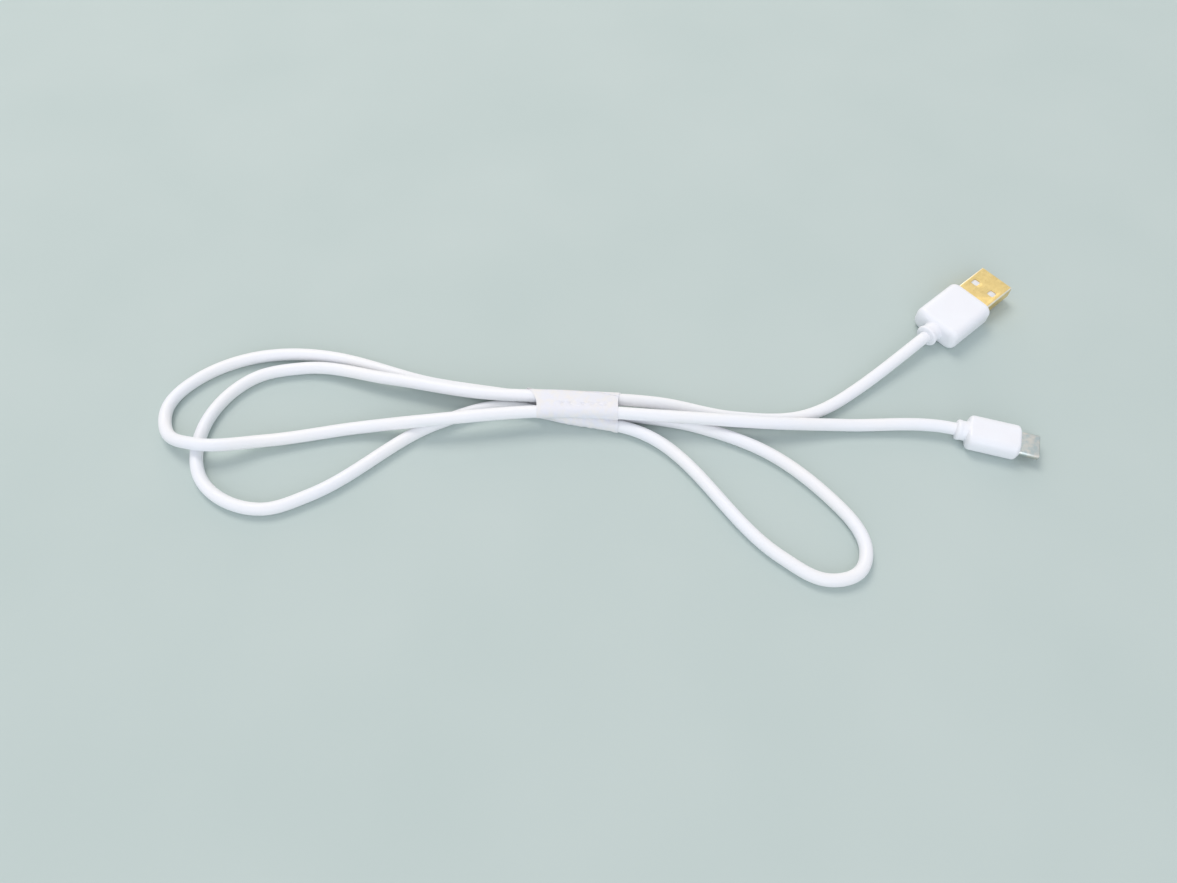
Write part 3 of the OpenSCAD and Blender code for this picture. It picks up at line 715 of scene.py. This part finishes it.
# %% Film
# Thin white film, slightly see-through, with faint creases drawn out along the strands.
n = Nodes("clear_film")
clouds = n.spread(n.noise(2.2, 3), 0, 1, 0.4, 0.68)
n.join(n.mix(clouds, srgb(242, 242, 248), srgb(246, 243, 240)), "Base Color")
along = n.add("ShaderNodeMapping", Vector=n.coordinates, Scale=(0.35, 1, 1)).outputs["Vector"]
creases = n.noise(0.9, 2, along)
n.join(n.spread(creases, 0.5, 0.64), "Roughness")
n.join(n.bump(creases, 0.06), "Normal")
n.shader.inputs["Specular IOR Level"].default_value = 0.25
n.shader.inputs["Alpha"].default_value = 0.94
film.data.materials.append(n.material)
print("film made")

# %% Metals and hard plastics
# How far in from the shell's long edge the painted highlight fades and is full, across it and down
# it.
HIGHLIGHT_ACROSS, HIGHLIGHT_DOWN = (0.55, 0.2), (0.6, 0.25)
# Size of the rolling marks, how far they are drawn out along the plug, and the mottling's size.
MARKS, MARKS_DRAWN, MOTTLE = 0.125, 0.12, 1.6
PLASTIC_GRAIN = 0.3


def painted_edge_highlight(n, place, plug):
    """Mask of the painted highlight: 1 on the shell's two upper long edges and 0 away from them, at
    a place in plug axes.
    """
    axes = n.add("ShaderNodeSeparateXYZ", Vector=place).outputs
    aside = n.math("ABSOLUTE", axes["Y"])
    half, top = plug["shell_w"] / 2, plug["t"] / 2 + plug["shell_t"] / 2
    across = n.spread(aside, 0, 1, *((half - d) * MM for d in HIGHLIGHT_ACROSS))
    down = n.spread(axes["Z"], 0, 1, *((top - d) * MM for d in HIGHLIGHT_DOWN))
    return n.math("MULTIPLY", across, down)


def metal(name, colour, second, roughness, plug, edge=None):
    """Plated sheet: fine marks along the plug, soft mottling and an uneven polish.

    With an edge colour, a pale highlight is painted along the shell's two upper long edges.
    """
    n = Nodes(name)
    n.shader.inputs["Metallic"].default_value = 1.0
    zero, turn = in_plug(plug, 0, 0, -plug["t"] / 2), radians(plug["angle"])
    moved = n.add("ShaderNodeMapping", Vector=n.coordinates, Location=-zero).outputs["Vector"]
    turned = n.add("ShaderNodeMapping", Vector=moved, Rotation=(0, 0, -turn)).outputs["Vector"]
    drawn = n.add("ShaderNodeMapping", Vector=turned, Scale=(MARKS_DRAWN, 1, 1)).outputs["Vector"]
    plating_and_highlight = n.mix(n.spread(n.noise(MOTTLE, 3, turned), 0, 1, 0.35, 0.65), colour, second)
    if edge:
        # The edge colour is a painted highlight along the shell's upper long edges.
        plating_and_highlight = n.mix(painted_edge_highlight(n, turned, plug), plating_and_highlight, edge)
    n.join(plating_and_highlight, "Base Color")
    marks = n.noise(MARKS, 4, drawn)
    n.join(n.spread(marks, roughness - 0.08, roughness + 0.12), "Roughness")
    n.join(n.bump(marks, 0.004), "Normal")
    return n.material


def plain_plastic(name, colour, second, roughness):
    """Hard moulded plastic, board or wire covering with a fine grain."""
    n = Nodes(name)
    n.join(n.mix(n.spread(n.noise(PLASTIC_GRAIN * 6, 2), 0, 1), colour, second), "Base Color")
    fine = n.noise(PLASTIC_GRAIN, 3)
    n.join(n.spread(fine, roughness - 0.07, roughness + 0.07), "Roughness")
    n.join(n.bump(fine, 0.006), "Normal")
    return n.material


print("marks on the metal are about", MARKS, "mm wide")

# %% [markdown]
# ### The pieces that keep their CAD shape
#
# The shells and everything inside the plugs stay as the CAD made them. Their finishes are those
# that such parts usually have: plated contacts, steel rings and springs, an ivory core, a green
# board, and one colour for each wire.

# %% Finish the CAD's own pieces
# The gold shell's pale edge colour is a painted highlight on its upper long edges.
gold_shell = metal(
    "gold_shell", srgb(240, 212, 144), srgb(228, 199, 132), 0.34, PLUG_A, edge=srgb(236, 232, 220),
)
contact_gold = metal("contact_gold", srgb(236, 200, 118), srgb(220, 180, 98), 0.25, PLUG_A)
steel_shell = metal("steel_shell", srgb(182, 191, 188), srgb(210, 205, 195), 0.36, PLUG_C)
steel_clamp = metal("steel_clamp", srgb(190, 190, 192), srgb(172, 172, 176), 0.32, PLUG_A)
white_insulator = plain_plastic("white_insulator", srgb(236, 236, 238), srgb(226, 227, 230), 0.4)
dark_insulator = plain_plastic("dark_insulator", srgb(44, 45, 48), srgb(36, 37, 40), 0.42)
ivory_core = plain_plastic("ivory_core", srgb(232, 228, 216), srgb(222, 217, 204), 0.48)
green_board = plain_plastic("green_board", srgb(30, 96, 64), srgb(24, 82, 54), 0.3)
wire_colours = {
    "power": plain_plastic("red_wire", srgb(190, 38, 34), srgb(172, 30, 28), 0.4),
    "data_minus": plain_plastic("white_wire", srgb(232, 232, 230), srgb(220, 220, 218), 0.4),
    "data_plus": plain_plastic("green_wire", srgb(40, 140, 70), srgb(32, 122, 60), 0.4),
    "ground": plain_plastic("black_wire", srgb(32, 32, 34), srgb(24, 24, 26), 0.4),
}
finishes = {
    "type_a_shell": gold_shell, "type_c_shell": steel_shell, "type_a_core": ivory_core,
    "type_c_core": ivory_core, "type_a_insulator": white_insulator,
    "type_c_insulator": dark_insulator, "type_a_clamp": steel_clamp, "type_c_clamp": steel_clamp,
    "type_c_latch": steel_clamp, "type_c_upper_spring": steel_clamp,
    "type_c_lower_spring": steel_clamp, "type_c_upper_contacts": contact_gold,
    "type_c_lower_contacts": contact_gold, "type_c_board": green_board,
    "type_c_resistor": dark_insulator,
}
for line, material in wire_colours.items():
    finishes[f"type_a_{line}_wire"] = finishes[f"type_c_{line}_wire"] = material
    finishes[f"type_a_{line}_contact"] = contact_gold
for name, material in finishes.items():
    data = nodes[name].data
    data.materials.clear()
    data.materials.append(material)
    for face in data.polygons:
        face.material_index = 0
print("nodes with a finish:", len(finishes), "of", len(nodes))

# %% [markdown]
# ## Edges of the metal parts
#
# Punched and folded sheet has slightly rounded edges that catch the light. Modifiers on the CAD
# nodes give them, and leave the nodes' own vertices alone.

# %% Round the edges of the shells
FLAT_ANGLE, EDGE_ANGLE = radians(0.5), radians(35)


def round_edges(node_name, width_mm):
    """Bevel a CAD node's edges with modifiers."""
    obj = nodes[node_name]
    weld = obj.modifiers.new("weld", "WELD")
    weld.merge_threshold = WELD
    # The CAD's triangles in one plane become one face, so that the bevel meets no slivers.
    flat = obj.modifiers.new("flat faces", "DECIMATE")
    flat.decimate_type = "DISSOLVE"
    flat.angle_limit = FLAT_ANGLE
    bevel = obj.modifiers.new("bevel", "BEVEL")
    bevel.width = width_mm * MM
    bevel.segments = 2
    bevel.limit_method = "ANGLE"
    bevel.angle_limit = EDGE_ANGLE
    bevel.harden_normals = True
    for face in obj.data.polygons:
        face.use_smooth = True


round_edges("type_a_shell", 0.06)
round_edges("type_c_shell", 0.05)
round_edges("type_a_insulator", 0.05)
print("edges rounded")

# %% [markdown]
# ## Table and light
#
# The table is one plain pale surface. A broad lamp stands high beyond the cable, so that its near
# side is softly shaded, a low warm one behind it lights the far edges, and a third in front keeps
# the near side readable. The sky fills the rest. The camera and glossy surfaces see it at strength
# 1, a plain bright studio, but it lights the scene with less, or the white parts would wash out.

# %% Table
TABLE_DROP, TABLE_HALF = 0.03, 2.0
table_mesh = bmesh.new()
bmesh.ops.create_grid(table_mesh, x_segments=8, y_segments=8, size=TABLE_HALF)
bmesh.ops.translate(table_mesh, verts=table_mesh.verts, vec=(0, 0, -TABLE_DROP * MM))
table = finish_mesh("table", table_mesh)
n = Nodes("table")
tone = n.spread(n.noise(60, 2), 0, 1)
n.join(n.mix(tone, srgb(196, 208, 204), srgb(192, 205, 201)), "Base Color")
n.join(n.spread(n.noise(2, 3), 0.7, 0.8), "Roughness")
n.join(n.bump(n.noise(0.8, 3), 0.01), "Normal")
n.shader.inputs["Specular IOR Level"].default_value = 0.2
table.data.materials.append(n.material)
print("table at z", -TABLE_DROP, "mm")

# %% Lamps
AIM = Vector((-0.11, -0.04, 0.0))


def lamp(name, place, size, watts, colour):
    """A square lamp at a place in metres, turned to the middle of the cable."""
    light = bpy.data.lights.new(name, "AREA")
    light.shape = "SQUARE"
    light.size = size
    light.energy = watts
    light.color = colour[:3]
    obj = bpy.data.objects.new(name, light)
    obj.location = place
    obj.rotation_euler = (AIM - Vector(place)).to_track_quat("-Z", "Y").to_euler()
    bpy.context.scene.collection.objects.link(obj)


lamp("key_lamp", (-0.7, 1.1, 1.98), size=1.1, watts=21.0, colour=srgb(255, 248, 242))
lamp("rim_lamp", (-0.14, 2.48, 0.86), size=1.7, watts=9.0, colour=srgb(255, 236, 214))
lamp("front_lamp", (-0.25, -2.3, 1.25), size=2.3, watts=25.0, colour=srgb(244, 246, 255))
print("lamps placed")

# %% Sky
SKY_LIGHT = 0.63
world = bpy.data.worlds.new("studio")
world.use_nodes = True
sky = world.node_tree
background = sky.nodes["Background"]
background.inputs["Color"].default_value = srgb(240, 245, 252)
seen = sky.nodes.new("ShaderNodeLightPath")
either = sky.nodes.new("ShaderNodeMath")
either.operation = "MAXIMUM"
sky.links.new(seen.outputs["Is Camera Ray"], either.inputs[0])
sky.links.new(seen.outputs["Is Glossy Ray"], either.inputs[1])
level = sky.nodes.new("ShaderNodeMapRange")
level.inputs["To Min"].default_value = SKY_LIGHT
level.inputs["To Max"].default_value = 1.0
sky.links.new(either.outputs["Value"], level.inputs["Value"])
sky.links.new(level.outputs["Result"], background.inputs["Strength"])
bpy.context.scene.world = world
print("sky lights the scene at strength", SKY_LIGHT)
